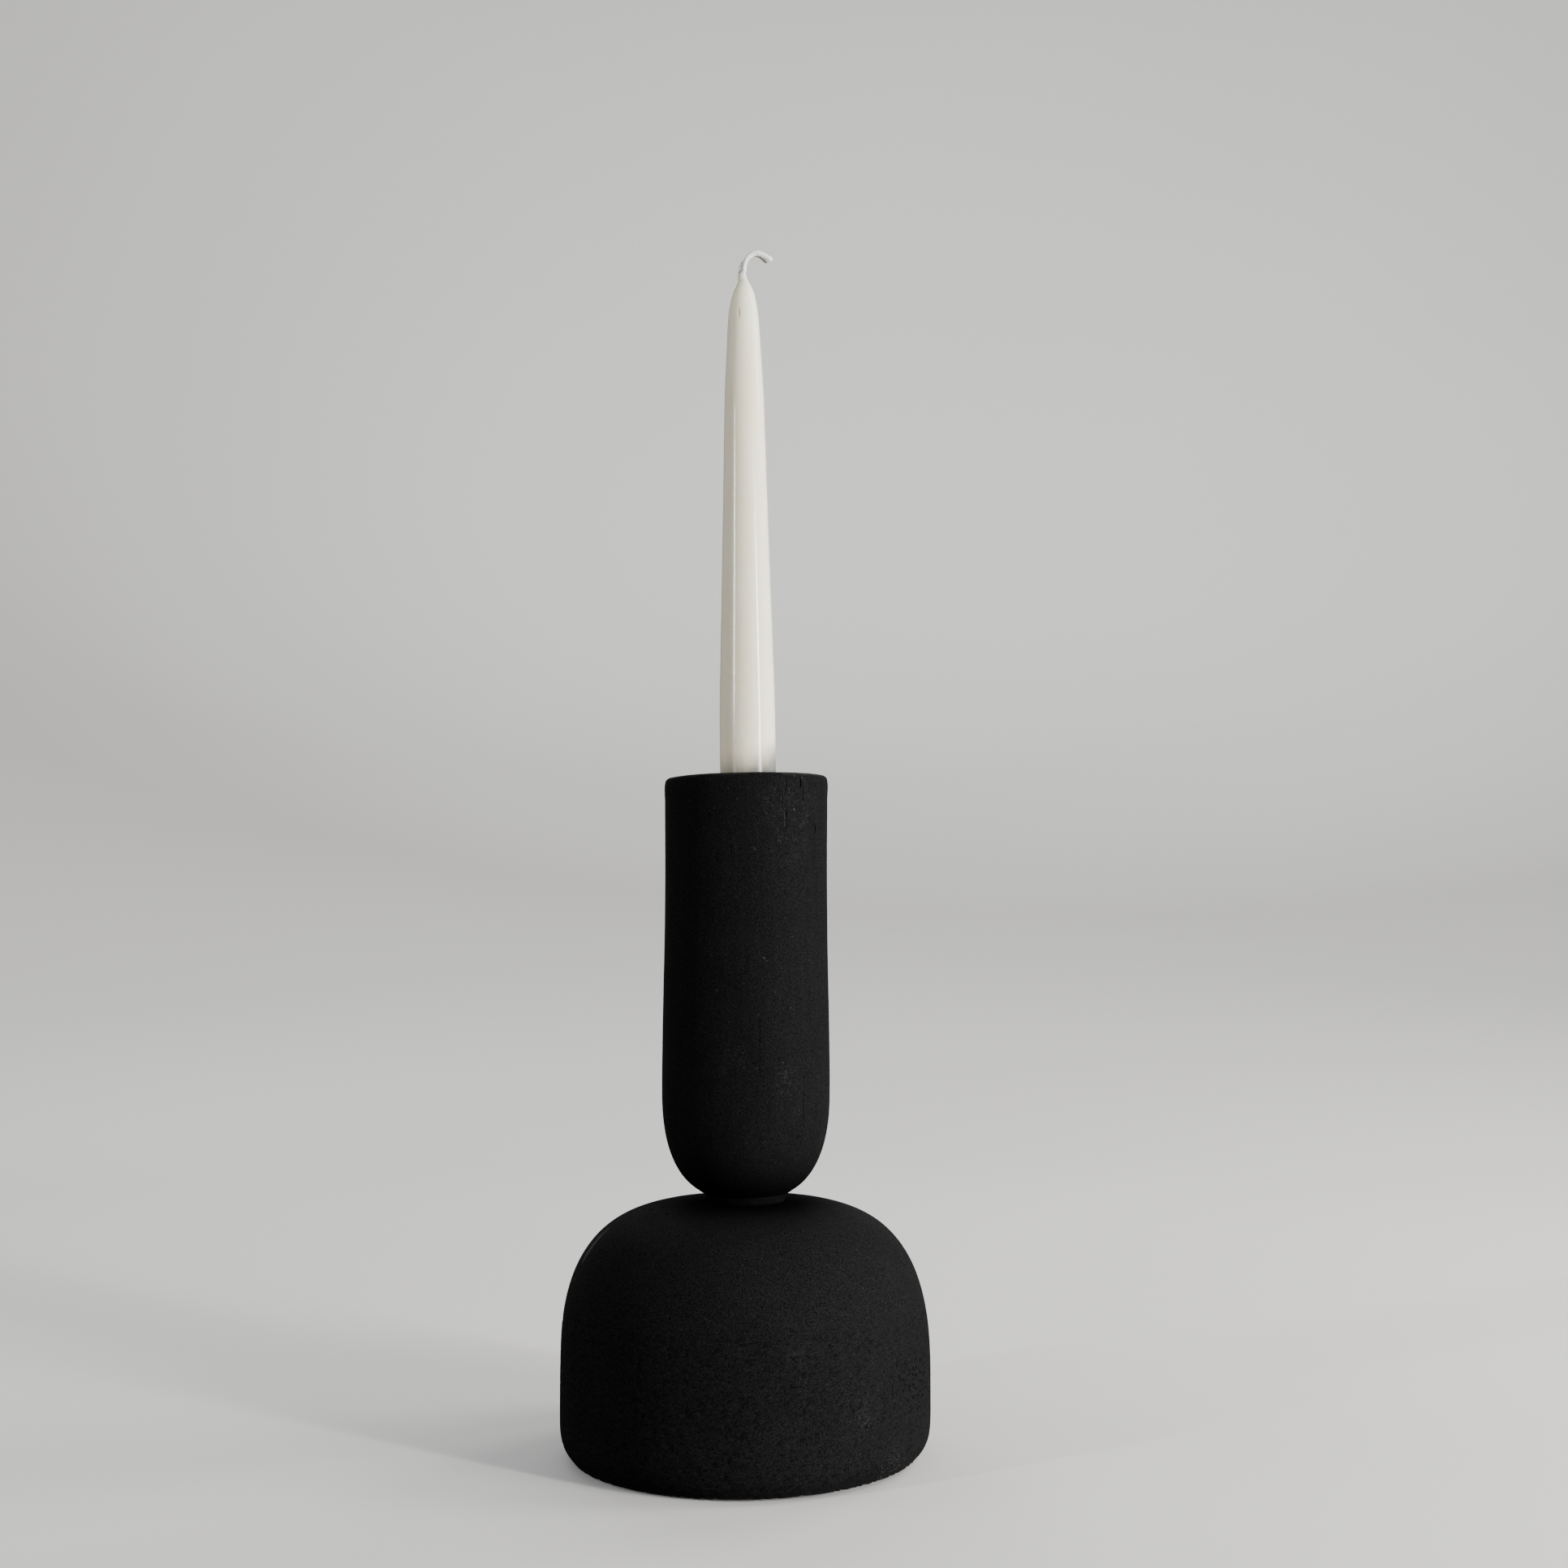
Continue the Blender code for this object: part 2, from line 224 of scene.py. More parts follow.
def object_coordinates(tree, scale=(1, 1, 1), turn=(0, 0, 0)):
    """Positions on the piece in metres, stretched by scale."""
    coordinates = node(tree, "ShaderNodeTexCoord").outputs["Object"]
    mapped = node(tree, "ShaderNodeMapping", {"Vector": coordinates, "Scale": scale, "Rotation": turn})
    return mapped.outputs["Vector"]


def noise_value(tree, vector, scale=1.0, detail=3.0, roughness=0.55, distortion=0.0):
    sockets = {"Vector": vector, "Scale": scale, "Detail": detail}
    sockets |= {"Roughness": roughness, "Distortion": distortion}
    return node(tree, "ShaderNodeTexNoise", sockets).outputs["Fac"]


def vector_maths(tree, operation, a, b=(0, 0, 0), result=0):
    return node(tree, "ShaderNodeVectorMath", {0: a, 1: b}, operation=operation).outputs[result]


def ramp(tree, value, low, high, out_low=0.0, out_high=1.0, smooth=True):
    """Value from low to high becomes out_low to out_high, and stays there beyond them."""
    kind = "SMOOTHSTEP" if smooth else "LINEAR"
    sockets = {"Value": value, "From Min": low, "From Max": high, "To Min": out_low, "To Max": out_high}
    return node(tree, "ShaderNodeMapRange", sockets, interpolation_type=kind).outputs["Result"]


def maths(tree, operation, a, b=0.0):
    return node(tree, "ShaderNodeMath", {0: a, 1: b}, operation=operation).outputs[0]


def blend(tree, share, a, b):
    """Colour a where share is 0, colour b where it is 1."""
    made = node(tree, "ShaderNodeMix", data_type="RGBA")
    for socket, value in zip((made.inputs[0], made.inputs[6], made.inputs[7]), (share, a, b)):
        if isinstance(value, bpy.types.NodeSocket):
            tree.links.new(value, socket)
        else:
            socket.default_value = value if socket.type == "VALUE" else (*value, 1.0)
    return made.outputs[2]


def add_bump(tree, shader, height, depth):
    """Height from 0 to 1 stands for that depth in metres."""
    bump = node(tree, "ShaderNodeBump", {"Height": height, "Distance": depth, "Strength": 1.0})
    tree.links.new(bump.outputs["Normal"], shader.inputs["Normal"])


def specks(tree, vector, cell, size):
    """Scattered dots: 1 inside them. Cell is their usual distance apart and size their radius, metres."""
    distance = node(tree, "ShaderNodeTexVoronoi", {"Vector": vector, "Scale": 1 / cell}).outputs["Distance"]
    return ramp(tree, distance, 0.8 * size / cell, 1.2 * size / cell, 1.0, 0.0)


def near(tree, vector, place, reach):
    """1 at a place, falling to 0 at reach from it."""
    distance = vector_maths(tree, "DISTANCE", vector, place, "Value")
    return ramp(tree, distance, 0.35 * reach, reach, 1.0, 0.0)


# ---------------------------------------------------------------- materials


def on_surface(azimuth, radius, height):
    """A point of a turned surface."""
    angle = math.radians(azimuth)
    return Vector((radius * math.sin(angle), -radius * math.cos(angle), height))


def turning_lines(tree, vector):
    """Fine lines that run round the axis: they vary with the distance from it and the height only."""
    flat = vector_maths(tree, "MULTIPLY", vector, (1, 1, 0))
    radius = vector_maths(tree, "LENGTH", flat, result="Value")
    height = node(tree, "ShaderNodeSeparateXYZ", {0: vector}).outputs["Z"]
    place = node(tree, "ShaderNodeCombineXYZ", {"X": radius, "Z": height}).outputs[0]
    drift = vector_maths(tree, "MULTIPLY", vector, (0.004, 0.004, 0.0))
    place = vector_maths(tree, "ADD", place, drift)
    return noise_value(tree, place, scale=1500.0, detail=2.0)


def swirls(tree, vector, scale):
    """Fine curled hairlines, broken into short strokes: 1 on them."""
    field = noise_value(tree, vector, scale=scale, detail=0.5, distortion=1.6)
    from_line = maths(tree, "ABSOLUTE", maths(tree, "SUBTRACT", field, 0.5))
    broken = noise_value(tree, vector, scale=0.8 * scale, detail=1.0)
    line = ramp(tree, from_line, 0.010, 0.036, 1.0, 0.0)
    return maths(tree, "MULTIPLY", line, ramp(tree, broken, 0.46, 0.56))


def strongest(tree, values):
    """The largest of some values at each place, 0 if there are none."""
    largest = 0.0
    for value in values:
        largest = maths(tree, "MAXIMUM", value, largest)
    return largest


def open_pores(tree, vector, azimuth, place, reach):
    """Upright oval holes in a patch of the flank, where the turned surface cuts across the grain."""
    across = vector_maths(tree, "DOT_PRODUCT", vector, on_surface(azimuth + 90, 1, 0), "Value")
    up = node(tree, "ShaderNodeSeparateXYZ", {0: vector}).outputs["Z"]
    width, height = PORE_CELL
    cell = {"X": maths(tree, "MULTIPLY", across, 1 / width), "Y": maths(tree, "MULTIPLY", up, 1 / height)}
    sockets = {"Vector": node(tree, "ShaderNodeCombineXYZ", cell).outputs[0], "Scale": 1.0, "Randomness": 0.8}
    made = node(tree, "ShaderNodeTexVoronoi", sockets, voronoi_dimensions="2D")
    smaller = node(tree, "ShaderNodeSeparateXYZ", {0: made.outputs["Color"]}).outputs["X"]
    distance = maths(tree, "ADD", made.outputs["Distance"], maths(tree, "MULTIPLY", smaller, 0.09))
    hole = ramp(tree, distance, 0.15, 0.25, 1.0, 0.0)
    return maths(tree, "MULTIPLY", hole, near(tree, vector, place, reach))


def stained_wood(
    name,
    tone,
    grain_scale,
    lines,
    scuffs=(),
    dusty=(),
    pored=(),
    gritty=1.0,
    haze=0.022,
    corner=(0.85, 42 * MM),
):
    """Black stain on bare turned wood. tone is the stain's shade, grain_scale stretches the grain, and lines
    is the depth of the turning marks. Scuffs and dusty spots are (place, reach), and pored spots have their
    azimuth before that. gritty is how rough the wood's fine grit is, and haze the fuzz that shows along its
    edges. corner is how much shade is painted round the neck, under the column's overhang, and how far from
    there that ends. Each vertex's marks are 1 on pale wear and painted highlights, and -1 on shade painted in
    checks and pits."""
    made, tree, shader = material(name, Sheen_Roughness=0.35)
    at = object_coordinates(tree)
    grain = noise_value(tree, object_coordinates(tree, grain_scale), detail=4.0, distortion=0.4)
    pores = noise_value(tree, object_coordinates(tree, [4.5 * s for s in grain_scale]), detail=1.0)
    pores = ramp(tree, pores, 0.64, 0.76)
    blotches = noise_value(tree, at, scale=38.0, detail=3.0)
    grit = noise_value(tree, at, scale=2000.0 / gritty, detail=3.0, roughness=0.75)
    round_marks = turning_lines(tree, at)

    deep, pale, blotched = ([tone * part for part in shade] for shade in STAIN)
    colour = blend(tree, ramp(tree, grain, 0.35, 0.70), deep, pale)
    colour = blend(tree, ramp(tree, blotches, 0.40, 0.70, 0.0, 0.45), colour, blotched)
    colour = blend(tree, maths(tree, "MULTIPLY", pores, 0.45), colour, (0.0014, 0.0013, 0.0013))
    shade = ramp(tree, grit, 0.34, 0.66, 1 - 0.66 * gritty, 1 + 0.78 * gritty, smooth=False)
    colour = node(tree, "ShaderNodeVectorMath", {0: colour, "Scale": shade}, operation="SCALE").outputs[0]

    worn = strongest(tree, [near(tree, at, *scuff) for scuff in scuffs])
    if scuffs:
        coarse, fine = swirls(tree, at, 270.0), swirls(tree, at, 520.0)
        strokes = maths(tree, "MAXIMUM", coarse, maths(tree, "MULTIPLY", fine, 0.8))
        worn = maths(tree, "MULTIPLY", worn, strokes)
        colour = blend(tree, maths(tree, "MULTIPLY", worn, 0.50), colour, (0.024, 0.0235, 0.023))

    fine = maths(tree, "MULTIPLY", specks(tree, at, 2.4 * MM, 0.18 * MM), 0.45)
    coarse = maths(tree, "MULTIPLY", specks(tree, at, 4.6 * MM, 0.26 * MM), 0.55)
    crowd = specks(tree, at, 1.0 * MM, 0.26 * MM) if dusty else 0.0
    spots = [maths(tree, "MULTIPLY", crowd, near(tree, at, *spot)) for spot in dusty]
    dust = strongest(tree, [fine, coarse, *spots])
    colour = blend(tree, maths(tree, "MULTIPLY", dust, 0.85), colour, (0.048, 0.047, 0.045))

    # Painted shade round the neck, under the column's overhang: the colour goes towards near black
    share, reach = corner
    from_neck_shade_centre = vector_maths(tree, "DISTANCE", at, NECK_SHADE_CENTRE, "Value")
    painted_neck_shade = ramp(tree, from_neck_shade_centre, NECK_SHADE_START, reach, share, 0.0)
    colour = blend(tree, painted_neck_shade, colour, PAINTED_SHADE)
    # Shade painted into the open pores
    holes = strongest(tree, [open_pores(tree, at, *spot) for spot in pored])
    colour = blend(tree, maths(tree, "MULTIPLY", holes, 0.95), colour, PAINTED_SHADE)
    # Each vertex's marks: pale wear and painted highlights above 0, painted shade in checks and pits below 0
    wear_and_painted_light = node(tree, "ShaderNodeAttribute", attribute_name="wear_and_painted_light").outputs["Fac"]
    colour = blend(tree, ramp(tree, wear_and_painted_light, 0.05, 0.9, smooth=False), colour, PALE_WEAR_AND_HIGHLIGHT)
    colour = blend(tree, ramp(tree, wear_and_painted_light, -0.05, -0.7, smooth=False), colour, PAINTED_SHADE)
    tree.links.new(colour, shader.inputs["Base Color"])

    # Less shine and sheen inside the painted shade round the neck
    outside_neck_shade = maths(tree, "SUBTRACT", 1.0, painted_neck_shade)
    glint = maths(tree, "MULTIPLY", ramp(tree, grit, 0.34, 0.66, 0.0, 0.030, smooth=False), outside_neck_shade)
    tree.links.new(glint, shader.inputs["Specular IOR Level"])
    fuzz = maths(tree, "MULTIPLY", maths(tree, "MULTIPLY", outside_neck_shade, outside_neck_shade), haze)
    tree.links.new(fuzz, shader.inputs["Sheen Weight"])

    roughness = ramp(tree, blotches, 0.3, 0.7, 0.62, 0.76, smooth=False)
    roughness = maths(tree, "ADD", roughness, ramp(tree, grit, 0.3, 0.7, -0.05, 0.05, smooth=False))
    tree.links.new(roughness, shader.inputs["Roughness"])

    height = maths(tree, "MULTIPLY", grain, 0.35)
    height = maths(tree, "ADD", height, maths(tree, "MULTIPLY", grit, 0.75))
    height = maths(tree, "ADD", height, maths(tree, "MULTIPLY", round_marks, lines))
    height = maths(tree, "SUBTRACT", height, maths(tree, "MULTIPLY", pores, 0.5))
    height = maths(tree, "ADD", height, maths(tree, "MULTIPLY", dust, 0.8))
    height = maths(tree, "SUBTRACT", height, maths(tree, "MULTIPLY", holes, 6.0))
    add_bump(tree, shader, height, 0.045 * MM)
    return made


def candle_wax():
    """Ivory dipped wax: light goes into it, and its skin has a soft shine, fine dents and a few specks. Shade
    is painted on it just above the rim, reaching higher on the right, where its skin is also rougher."""
    made, tree, shader = material(
        "candle_wax", Subsurface_Weight=0.8, Subsurface_Scale=0.005, Specular_IOR_Level=0.5, IOR=1.44
    )
    shader.inputs["Subsurface Radius"].default_value = (1.0, 0.72, 0.42)
    at = object_coordinates(tree)
    cloud = noise_value(tree, object_coordinates(tree, (90, 90, 28)), detail=3.0)
    dips = noise_value(tree, object_coordinates(tree, (60, 60, 420)), detail=2.0)
    fine = noise_value(tree, at, scale=1900.0, detail=2.0)
    colour = blend(tree, ramp(tree, cloud, 0.35, 0.65), (0.935, 0.885, 0.725), (0.905, 0.845, 0.665))
    specked = maths(tree, "MULTIPLY", specks(tree, at, 9.0 * MM, 0.20 * MM), 0.55)
    colour = blend(tree, specked, colour, (0.38, 0.32, 0.24))
    squash = Vector((1, 0.2, 0.12))
    marked = near(tree, object_coordinates(tree, squash), squash * Vector(WAX_MARK), 0.40 * MM)
    colour = blend(tree, marked, colour, (0.50, 0.42, 0.30))
    place = node(tree, "ShaderNodeSeparateXYZ", {0: at}).outputs
    to_right = maths(tree, "MAXIMUM", place["X"], 0.0)
    up = maths(tree, "SUBTRACT", place["Z"], maths(tree, "MULTIPLY", to_right, 0.5))
    # Painted shade just above the rim, reaching higher on the right: the wax goes grey
    rim_shade = maths(tree, "ADD", up, ramp(tree, cloud, 0.3, 0.7, -1.5 * MM, 1.5 * MM))
    rim_shade = ramp(tree, rim_shade, RIM_SHADE_FROM, RIM_SHADE_TO)
    colour = blend(tree, rim_shade, colour, (0.20, 0.205, 0.19))
    tree.links.new(colour, shader.inputs["Base Color"])
    roughness = ramp(tree, dips, 0.3, 0.7, 0.09, 0.14, smooth=False)
    roughness = maths(tree, "ADD", roughness, maths(tree, "MULTIPLY", rim_shade, 0.10))
    roughness = maths(tree, "ADD", roughness, maths(tree, "MULTIPLY", fine, 0.04))
    tree.links.new(roughness, shader.inputs["Roughness"])
    height = maths(tree, "ADD", maths(tree, "MULTIPLY", dips, 0.6), maths(tree, "MULTIPLY", fine, 0.25))
    add_bump(tree, shader, height, 0.022 * MM)
    return made


def shaded_thin_wax():
    """The same wax as a thin skin, painted grey for the shade it stands in beside the wick."""
    made, tree, shader = material(
        "shaded_thin_wax", Subsurface_Weight=0.2, Subsurface_Scale=0.001, Specular_IOR_Level=0.25, IOR=1.44
    )
    shader.inputs["Subsurface Radius"].default_value = (1.0, 0.75, 0.5)
    at = object_coordinates(tree)
    lumps = noise_value(tree, at, scale=700.0, detail=3.0)
    colour = blend(tree, ramp(tree, lumps, 0.35, 0.65), (0.36, 0.355, 0.34), (0.60, 0.59, 0.57))
    tree.links.new(colour, shader.inputs["Base Color"])
    tree.links.new(ramp(tree, lumps, 0.3, 0.7, 0.45, 0.60), shader.inputs["Roughness"])
    add_bump(tree, shader, lumps, 0.05 * MM)
    return made


def waxed_cotton():
    """The wick's yarn: white cotton with its fibres along the strand, soaked in wax."""
    made, tree, shader = material(
        "waxed_cotton", Subsurface_Weight=0.1, Subsurface_Scale=0.0006, Sheen_Weight=0.6, Sheen_Roughness=0.5
    )
    at = object_coordinates(tree)
    fibres = noise_value(tree, object_coordinates(tree, (5200, 5200, 1900)), detail=3.0, distortion=0.8)
    colour = blend(tree, ramp(tree, fibres, 0.3, 0.65), (0.95, 0.915, 0.83), (0.99, 0.97, 0.90))
    tree.links.new(colour, shader.inputs["Base Color"])
    roughness = ramp(tree, noise_value(tree, at, scale=900.0), 0.3, 0.7, 0.42, 0.75)
    tree.links.new(roughness, shader.inputs["Roughness"])
    add_bump(tree, shader, fibres, 0.04 * MM)
    return made


def shaded_cotton():
    """Loose yarn under the wick's frayed end, painted dark as the shade under it."""
    made, tree, shader = material("shaded_cotton", Specular_IOR_Level=0.3)
    fibres = noise_value(tree, object_coordinates(tree, (2600, 5200, 5200)), detail=3.0)
    colour = blend(tree, ramp(tree, fibres, 0.3, 0.7), (0.10, 0.095, 0.085), (0.26, 0.25, 0.23))
    tree.links.new(colour, shader.inputs["Base Color"])
    tree.links.new(ramp(tree, fibres, 0.3, 0.7, 0.7, 0.95), shader.inputs["Roughness"])
    add_bump(tree, shader, fibres, 0.08 * MM)
    return made


def cup_brass():
    """Thin drawn brass, tarnished in patches, with fine lines round it."""
    made, tree, shader = material("cup_brass", Metallic=1.0)
    at = object_coordinates(tree)
    tarnish = noise_value(tree, at, scale=260.0, detail=4.0)
    colour = blend(tree, ramp(tree, tarnish, 0.35, 0.7), (0.68, 0.50, 0.24), (0.36, 0.25, 0.12))
    tree.links.new(colour, shader.inputs["Base Color"])
    lines = turning_lines(tree, at)
    roughness = ramp(tree, tarnish, 0.3, 0.7, 0.26, 0.48)
    roughness = maths(tree, "ADD", roughness, maths(tree, "MULTIPLY", lines, 0.08))
    tree.links.new(roughness, shader.inputs["Roughness"])
    add_bump(tree, shader, lines, 0.012 * MM)
    return made


def pressed_felt():
    """Black wool felt: matted fibres with no direction."""
    made, tree, shader = material(
        "pressed_felt", Specular_IOR_Level=0.15, Sheen_Weight=0.35, Sheen_Roughness=0.6
    )
    at = object_coordinates(tree)
    matted = noise_value(tree, at, scale=1300.0, detail=5.0, roughness=0.7, distortion=1.6)
    clumps = noise_value(tree, at, scale=180.0, detail=3.0)
    colour = blend(tree, ramp(tree, matted, 0.35, 0.68), (0.006, 0.006, 0.0065), (0.026, 0.026, 0.027))
    colour = blend(tree, ramp(tree, clumps, 0.45, 0.7, 0.0, 0.4), colour, (0.035, 0.034, 0.034))
    tree.links.new(colour, shader.inputs["Base Color"])
    tree.links.new(ramp(tree, clumps, 0.3, 0.7, 0.85, 1.0), shader.inputs["Roughness"])
    add_bump(tree, shader, maths(tree, "ADD", matted, maths(tree, "MULTIPLY", clumps, 0.8)), 0.22 * MM)
    return made


# ---------------------------------------------------------------- resampling the CAD's rings


def cad_points(name):
    return np.array([v.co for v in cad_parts[name].data.vertices], float)


def axis_of(name):
    """A matrix that stands a turned node upright with its foot at the origin, and its inverse."""
    points = cad_points(name)
    centre = points.mean(0)
    direction = np.linalg.eigh(np.cov((points - centre).T))[1][:, -1]
    direction *= np.sign(direction[2])
    foot = centre + direction * ((points - centre) @ direction).min()
    turn = Vector(direction).rotation_difference(Vector((0, 0, 1))).to_matrix().to_4x4()
    upright = turn @ Matrix.Translation(-Vector(foot))
    return upright, upright.inverted()


def cad_rings(name, upright, closed):
    """The radius and height of each of a turned node's rings at each of its meridians, in outline order.

    A closed outline ends on its first ring again, and any other starts and ends on the axis."""
    bm = bmesh.new()
    bm.from_mesh(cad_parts[name].data)
    bm.transform(upright)
    bmesh.ops.remove_doubles(bm, verts=bm.verts, dist=0.002 * MM)
    on_axis = [v for v in bm.verts if v.co.xy.length < 0.01 * MM]
    away = [v for v in bm.verts if v.co.xy.length >= 0.01 * MM]
    angles = np.array([round(math.degrees(math.atan2(v.co.y, v.co.x)) % 360, 1) % 360 for v in away])
    order = np.argsort(angles)
    breaks = np.flatnonzero(np.diff(angles[order]) > 0.5) + 1
    meridians = []
    for group in np.split(order, breaks):
        along = {*on_axis, *(away[i] for i in group)}
        joined = {v: [e.other_vert(v) for e in v.link_edges if e.other_vert(v) in along] for v in along}
        ends = [v for v in along if len(joined[v]) == 1]
        start = min(ends or along, key=lambda v: (round(v.co.z, 5), v.co.xy.length))
        line, before = [start], None
        while True:
            onward = [v for v in joined[line[-1]] if v is not before and v is not start]
            if not onward:
                break
            before = line[-1]
            line.append(min(onward, key=lambda v: -v.co.xy.length) if len(line) == 1 else onward[0])
        meridians.append([(v.co.xy.length, v.co.z) for v in line])
    bm.free()
    rings = np.array(meridians).transpose(1, 0, 2)
    if closed:
        rings = np.concatenate([rings, rings[:1]])
    else:
        ends = [ring.mean(0) * (0, 1) * np.ones_like(ring) for ring in (rings[0], rings[-1])]
        rings = np.concatenate([ends[:1], rings, ends[1:]])
    return rings[..., 0], rings[..., 1]


def spline_weights(t):
    """The shares that a Catmull-Rom curve gives its four nearest points at t between the middle two."""
    outer = (-t + 2 * t**2 - t**3, -(t**2) + t**3)
    inner = (2 - 5 * t**2 + 3 * t**3, t + 4 * t**2 - 3 * t**3)
    return 0.5 * np.array([outer[0], *inner, outer[1]])


def outline_weights(radius, height, step):
    """Shares that turn the CAD's outline points into fine ones about step apart, curved between corners."""
    points = np.stack([radius, height], 1)
    runs = np.diff(points, axis=0)
    lengths = np.linalg.norm(runs, axis=1)
    cosines = (runs[:-1] * runs[1:]).sum(1) / (lengths[:-1] * lengths[1:])
    corner = np.concatenate([[True], np.arccos(np.clip(cosines, -1, 1)) > CORNER, [True]])
    share = np.eye(len(points))
    slopes = np.diff(share, axis=0) / lengths[:, None]

    def tangent(i, side):
        """The outline's slope at point i, seen from the run on one side of it where it has a corner there."""
        if corner[i]:
            return slopes[side]
        before, after = lengths[i - 1], lengths[i]
        return (slopes[i - 1] * after + slopes[i] * before) / (before + after)

    rows = []
    for i, length in enumerate(lengths):
        straight = corner[i] and corner[i + 1]
        count = max(1, round(length / (step * (5 if straight else 1))))
        for t in np.arange(count) / count:
            near_end = (2 * t**3 - 3 * t**2 + 1) * share[i]
            far_end = (3 * t**2 - 2 * t**3) * share[i + 1]
            rise = length * (t**3 - 2 * t**2 + t) * tangent(i, i)
            fall = length * (t**3 - t**2) * tangent(i + 1, i)
            rows.append(near_end + far_end + rise + fall)
    rows.append(share[-1])
    return np.array(rows)


def around_weights(coarse, fine):
    """Shares that turn one ring's coarse values into fine ones, all round."""
    made = np.zeros((fine, coarse))
    for j in range(fine):
        place = j * coarse / fine
        first = int(place)
        for offset, share in zip((-1, 0, 1, 2), spline_weights(place - first)):
            made[j, (first + offset) % coarse] += share
    return made


def grid_mesh(name, radius, height, closed=False):
    """A mesh from radius and height at each ring and meridian. Rings on the axis shrink to one point."""
    rings, sides = radius.shape
    angles = np.arange(sides) * math.tau / sides
    points = np.stack([radius * np.cos(angles), radius * np.sin(angles), height], 2)
    bm = bmesh.new()
    rows = []
    for i in range(rings):
        if radius[i].max() < 0.01 * MM:
            rows.append([bm.verts.new(points[i].mean(0))] * sides)
        else:
            rows.append([bm.verts.new(p) for p in points[i]])
    for lower, upper in zip(rows, rows[1:] + ([rows[0]] if closed else [])):
        for j in range(sides):
            k = (j + 1) % sides
            corners = dict.fromkeys((lower[j], lower[k], upper[k], upper[j]))
            if len(corners) > 2:
                bm.faces.new(corners)
    bmesh.ops.recalc_face_normals(bm, faces=bm.faces)
    return bm


def fine_copy(node_name, step, sides, upright=Matrix.Identity(4), closed=False):
    """A bmesh of a turned CAD node, resampled finely."""
    radius, height = cad_rings(node_name, upright, closed)
    quarter = radius.shape[1] // 4
    along = outline_weights(radius[:, quarter], height[:, quarter], step)
    around = around_weights(radius.shape[1], sides)
    radius, height = (along @ values @ around.T for values in (radius, height))
    if closed:
        radius, height = radius[:-1], height[:-1]
    return grid_mesh(node_name, np.maximum(radius, 0), height, closed)


def finish_piece(name, bm, finish, body, sharp=35, wear_and_painted_light=None):
    """Makes the bmesh a smooth-shaded piece that rides on a body. Edges over sharp degrees stay sharp, and
    the function given last gives its vertices' pale wear, painted highlights and painted shade."""
    mesh = bpy.data.meshes.new(name)
    if wear_and_painted_light:
        layer = bm.verts.layers.float.new("wear_and_painted_light")
        for vertex in bm.verts:
            vertex[layer] = wear_and_painted_light(vertex.co)
    bm.to_mesh(mesh)
    bm.free()
    mesh.shade_smooth()
    mesh.set_sharp_from_angle(angle=math.radians(sharp))
    for each in finish if isinstance(finish, (list, tuple)) else [finish]:
        mesh.materials.append(each)
    made = bpy.data.objects.new(name, mesh)
    bpy.context.scene.collection.objects.link(made)
    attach(made, body)
    return made


# ---------------------------------------------------------------- wood


def azimuth_of(point):
    return math.degrees(math.atan2(point.x, -point.y))


def apart(a, b):
    """The difference of two azimuths, from -180 to 180."""
    return (a - b + 180) % 360 - 180


def refine(bm, touches, cuts):
    """Cuts the faces whose middle touches() accepts into smaller ones."""
    edges = {e for face in bm.faces if touches(face.calc_center_median()) for e in face.edges}
    bmesh.ops.subdivide_edges(bm, edges=list(edges), cuts=cuts, use_grid_fill=True)


def press_in(bm, depth_at):
    """Moves each vertex inwards along its normal by depth_at(place)."""
    bm.normal_update()
    moves = [(v, v.normal * -depth_at(v.co)) for v in bm.verts]
    for vertex, move in moves:
        vertex.co += move


def beside_check(point, azimuth, low, length, width):
    """How far a point lies to the right of a crooked slit's middle, in half widths of the slit there, or None
    if it is past its ends."""
    up = (point.z - low * MM) / (length * MM)
    if not 0 < up < 1:
        return None
    wander = 0.16 * MM * noise.noise(Vector((azimuth, 0.0, point.z * 420)))
    across = round_from(point, azimuth) - wander
    return across / max(0.03 * MM, width * MM / 2 * math.sqrt(math.sin(math.pi * up)))


def groove(point, azimuth, low, length, width, depth):
    """A check's depth at a point, with a raised lip on its left."""
    beside = beside_check(point, azimuth, low, length, width)
    if beside is None or abs(beside) > 3:
        return 0.0
    lip = 0.08 * math.exp(-((beside + 1.6) ** 2) * 5)
    return depth * MM * (max(0.0, 1 - abs(beside) ** 1.5) - lip)


def unevenness(point, amount, size):
    """The slight unevenness that hand sanding leaves."""
    fine = noise.noise(point / (0.4 * size) + Vector((7, 3, 1)))
    return amount * noise.noise(point / size) + 0.4 * amount * fine


def round_from(point, azimuth):
    """How far a point lies round the axis from an azimuth, in metres."""
    return math.radians(apart(azimuth_of(point), azimuth)) * point.xy.length


def column_depth(point):
    if point.xy.length <= COLUMN_BORE and point.z >= COLUMN_BORE_FLOOR:
        return 0.0
    depth = unevenness(point, 0.07 * MM, 22 * MM)
    for check in CHECKS:
        depth += groove(point, *check[:5])
    down = (node_boxes["column"][1].z - point.z) / (1.6 * MM)
    for azimuth, width, cut in RIM_NICKS:
        across = round_from(point, azimuth) / (width * MM)
        if abs(across) < 1 and down < 1 and point.xy.length > 30 * MM:
            rough = 0.7 + 0.6 * noise.noise(point * 2500)
            depth += cut * MM * (1 - across**2) ** 2 * (1 - max(0, down)) * rough
    return depth


